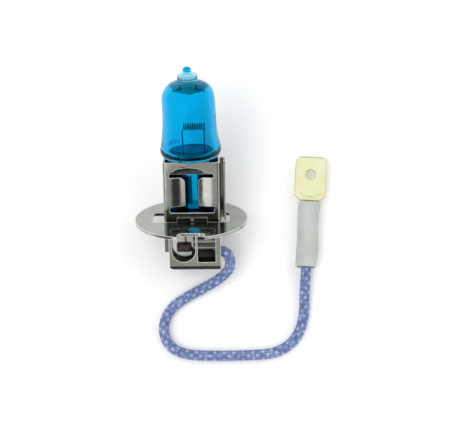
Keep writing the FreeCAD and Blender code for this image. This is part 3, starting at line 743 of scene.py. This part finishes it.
# Stations along the sleeve, (place, radius): the inside of the lead's end, the outside, and the blade's end.
SLEEVE_OUTLINE = [
    (-SLEEVE_LENGTH + 0.75, 1.62), (-SLEEVE_LENGTH + 0.15, 1.72), (-SLEEVE_LENGTH, 1.9),
    (-SLEEVE_LENGTH + 0.06, 2.06), (-SLEEVE_LENGTH + 0.3, 2.14), (-12.0, 2.19), (-10.2, 2.25), (-7.8, 2.2),
    (-5.2, 2.24), (-2.6, 2.3), (-0.9, 2.33), (-0.3, 2.3), (-0.06, 2.18), (0.0, 2.0), (-0.06, 1.8),
    (-0.5, 1.66), (-6.0, 1.58)]
SLEEVE_WAVE = 0.1
SLEEVE_FLATNESS = 0.06
SLEEVE_SLACK = 0.05
SLEEVE_SAG = 0.02
# The blade's fold: half its length, where it thins out, half its height, its width over its height, its rise.
CREASE_HALF = 2.95
CREASE_TAPER = 3.0
CREASE_THICK = 0.17
CREASE_SPREAD = 1.7
CREASE_RISE = 0.34
CREASE_STEPS = 40
# The spot weld's button: where it is on the tab, its radius and its profile, (part of the radius, rise).
WELD_RIGHT, WELD_FRONT, WELD_ALONG = 0.25, 2.45, 0.35
WELD_RADIUS = 0.3
WELD_PROFILE = [(1.0, -0.05), (0.92, 0.03), (0.6, 0.08), (0.25, 0.1), (0.02, 0.1)]


def blade_point(right, along, up):
    """A point given in millimetres from the sleeve's blade end, in the blade's own directions."""
    from_hole = ACROSS_BLADE * right + ALONG_BLADE * (along - HOLE_FROM_SLEEVE) + Vector((0, 0, up))
    return BLADE_HOLE + from_hole * MM


def make_sleeve():
    """Soft tubing that has taken a slight wave, with rolled lips and an open mouth round the lead."""
    rings = []
    for along, radius in SLEEVE_OUTLINE:
        def ring(angle, along=along, radius=radius):
            wave = SLEEVE_WAVE * math.sin(along * 0.62 + 0.6)
            flat = SLEEVE_FLATNESS * math.cos(2 * angle) * math.sin(along * 0.45)
            reach = radius + flat - SLEEVE_SLACK
            return blade_point(reach * math.cos(angle) + wave, along, reach * math.sin(angle) - SLEEVE_SAG)
        rings.append(ring)
    sleeve = mesh_of("sleeve", *tube_rings(rings, 40, closed=True))
    soft = sleeve.modifiers.new("soft", "SUBSURF")
    soft.levels = soft.render_levels = 2
    smooth(sleeve.data, 80)
    return sleeve


def make_blade_crease():
    """The scalloped fold where the blade's sheet is bent down into its neck."""
    rings = []
    for i in range(CREASE_STEPS + 1):
        across = -CREASE_HALF + 2 * CREASE_HALF * i / CREASE_STEPS
        along = 1.75 - 0.45 * math.cos(across * 1.05) + 0.12 * math.cos(across * 4.2)
        thick = CREASE_THICK * math.sqrt(max(0.02, 1 - (across / CREASE_TAPER) ** 4))
        rings.append(lambda angle, across=across, along=along, thick=thick: blade_point(
            across, along + CREASE_SPREAD * thick * math.cos(angle), CREASE_RISE + thick * math.sin(angle)))
    crease = mesh_of("blade_crease", *tube_rings(rings, 10))
    smooth(crease.data, 60)
    return crease


def make_weld_dot():
    """The low button of the spot weld on the front tab."""
    rings = []
    for reach, rise in WELD_PROFILE:
        rings.append(lambda angle, reach=WELD_RADIUS * reach, rise=rise: lamp_point(
            WELD_RIGHT + reach * math.cos(angle), WELD_FRONT + rise, WELD_ALONG + reach * math.sin(angle)))
    dot = mesh_of("weld_dot", *tube_rings(rings, 20))
    smooth(dot.data, 60)
    return dot


def make_floor():
    """A plain pale table, a hair under the object."""
    bpy.ops.mesh.primitive_plane_add(size=FLOOR_SIZE, location=(0, 0, -FLOOR_DROP))
    floor = bpy.context.object
    floor.name = "floor"
    shade = (FLOOR_SHADE, FLOOR_SHADE, FLOOR_SHADE, 1)
    floor.data.materials.append(new_material("floor", Roughness=0.9, Base_Color=shade)[0])
    return floor


# ---------------------------------------------------------------- making it all

make_world(make_camera())
for name, place, side, power in LIGHTS:
    make_light(name, place, side, power)
floor = make_floor()

STEEL = plated_steel("plated_steel", (0.35, 0.355, 0.31), (0.43, 0.44, 0.4))
# A darker copy of the plate, as painted shade on the rear shell.
SHADED_COPY_STEEL = plated_steel("shaded_copy_steel", (0.2, 0.205, 0.18), (0.29, 0.295, 0.26))
# Pale edges, as a painted highlight on the steel's rolled edges.
HIGHLIGHT_EDGE_STEEL = painted_edge_metal("painted_highlight_edge_steel", (0.8, 0.8, 0.74), (0.92, 0.92, 0.86), 0.6)
# Dark olive edges, as painted shade on the blade's rolled edges.
SHADE_EDGE_BRASS = painted_edge_metal("painted_shade_edge_brass", (0.3, 0.28, 0.12), (0.42, 0.4, 0.19), 0.5)
# Near-black plate, as painted shade on bends, walls, the crimp and the ferrule's edges.
PAINTED_SHADE_STEEL = painted_shade_steel()
GLASS = tinted_glass("blue_glass", (0.001, 0.37, 0.71), (0.003, 0.42, 0.77), (0.02, 0.45, 0.85))
# Near-black glass, as painted shade on the hollow's floor, under the nipple and on the pinch's webs.
SHADE_TINT_GLASS = tinted_glass("painted_shade_glass", (0.0, 0.012, 0.03), (0.0, 0.08, 0.15), (0.02, 0.45, 0.85), 0.08)
NIPPLE_GLASS = tinted_glass("nipple_glass", (0.4, 0.82, 0.92), (0.6, 0.92, 0.98), (0.4, 0.8, 1.0), 0.03, 0.8)
CLEAR_GLASS = tinted_glass("clear_glass", (0.7, 0.93, 0.98), (0.8, 0.96, 1.0), (0.1, 0.6, 0.95))
BLUE_YARN = yarn("blue_yarn", (0.075, 0.11, 0.29), (0.135, 0.185, 0.4), (0.28, 0.34, 0.55))
PALE_YARN = yarn("pale_yarn", (0.17, 0.22, 0.43), (0.36, 0.42, 0.6), (0.6, 0.66, 0.76))
SLEEVE = sleeve_plastic()
BRASS = brass()
MATERIALS = {
    "blue_glass": GLASS,
    "plated_steel": STEEL,
    "tungsten": dark_metal("tungsten", (0.015, 0.015, 0.02), (0.06, 0.06, 0.07)),
    "molybdenum": dark_metal("molybdenum", (0.07, 0.07, 0.075), (0.2, 0.2, 0.22)),
    "copper_strand": dark_metal("copper_strand", (0.02, 0.016, 0.014), (0.12, 0.097, 0.084)),
    "brass_blade": BRASS,
    "sleeve": SLEEVE,
    "braid": BLUE_YARN,
}
slots = {part["node"]: part["material_slot"] for part in frame["record"]["subparts"]}
for name, node in frame["nodes"].items():
    node.data.materials.clear()
    node.data.materials.append(MATERIALS[slots[name]])

# Each steel piece with rolled edges: the width of its bevels in millimetres, its plate and its edges, where
# pale edges are a painted highlight and the ferrule's near-black edges painted shade.
ROLLED = [
    ("flange_disc", 0.08, STEEL, HIGHLIGHT_EDGE_STEEL),
    ("holder_front", 0.1, STEEL, HIGHLIGHT_EDGE_STEEL),
    # The rear shell takes the darker copy of the plate, as painted shade.
    ("holder_rear", 0.1, SHADED_COPY_STEEL, HIGHLIGHT_EDGE_STEEL),
    ("lead_ferrule", 0.04, STEEL, PAINTED_SHADE_STEEL),
]
BLADE_EDGE = 0.08
for name, width, plate, edge in ROLLED:
    rolled = bevelled(name, width * MM, STEEL_EDGE_SLOT)
    finish_piece(rolled, [plate, PAINTED_SHADE_STEEL, edge], "plated_steel", name)
    if name == "flange_disc":
        paint_disc_shade(rolled)
    else:
        paint_plate_shade(rolled)
# The blade's rolled edges take the dark olive edge brass, as painted shade.
finish_piece(bevelled("terminal_blade", BLADE_EDGE * MM, BRASS_EDGE_SLOT), [BRASS, SHADE_EDGE_BRASS], "brass_blade",
             "terminal_blade")
make_glass()
crease = finish_piece(make_blade_crease(), BRASS, "brass_blade")
finish_piece(make_weld_dot(), STEEL, "plated_steel")
sleeve = finish_piece(make_sleeve(), SLEEVE, "sleeve", "insulating_sleeve")

lead, centre_line = make_lead()
finish_piece(lead, BLUE_YARN, "braid", "lead_braid")
braid = make_braid(centre_line)
finish_piece(braid["blue"], BLUE_YARN, "braid")
finish_piece(braid["pale"], PALE_YARN, "braid")
for piece in braid.values():
    smooth(piece.data, 80)

bpy.context.scene.view_settings.view_transform = "Standard"
bpy.context.scene.view_settings.look = "None"
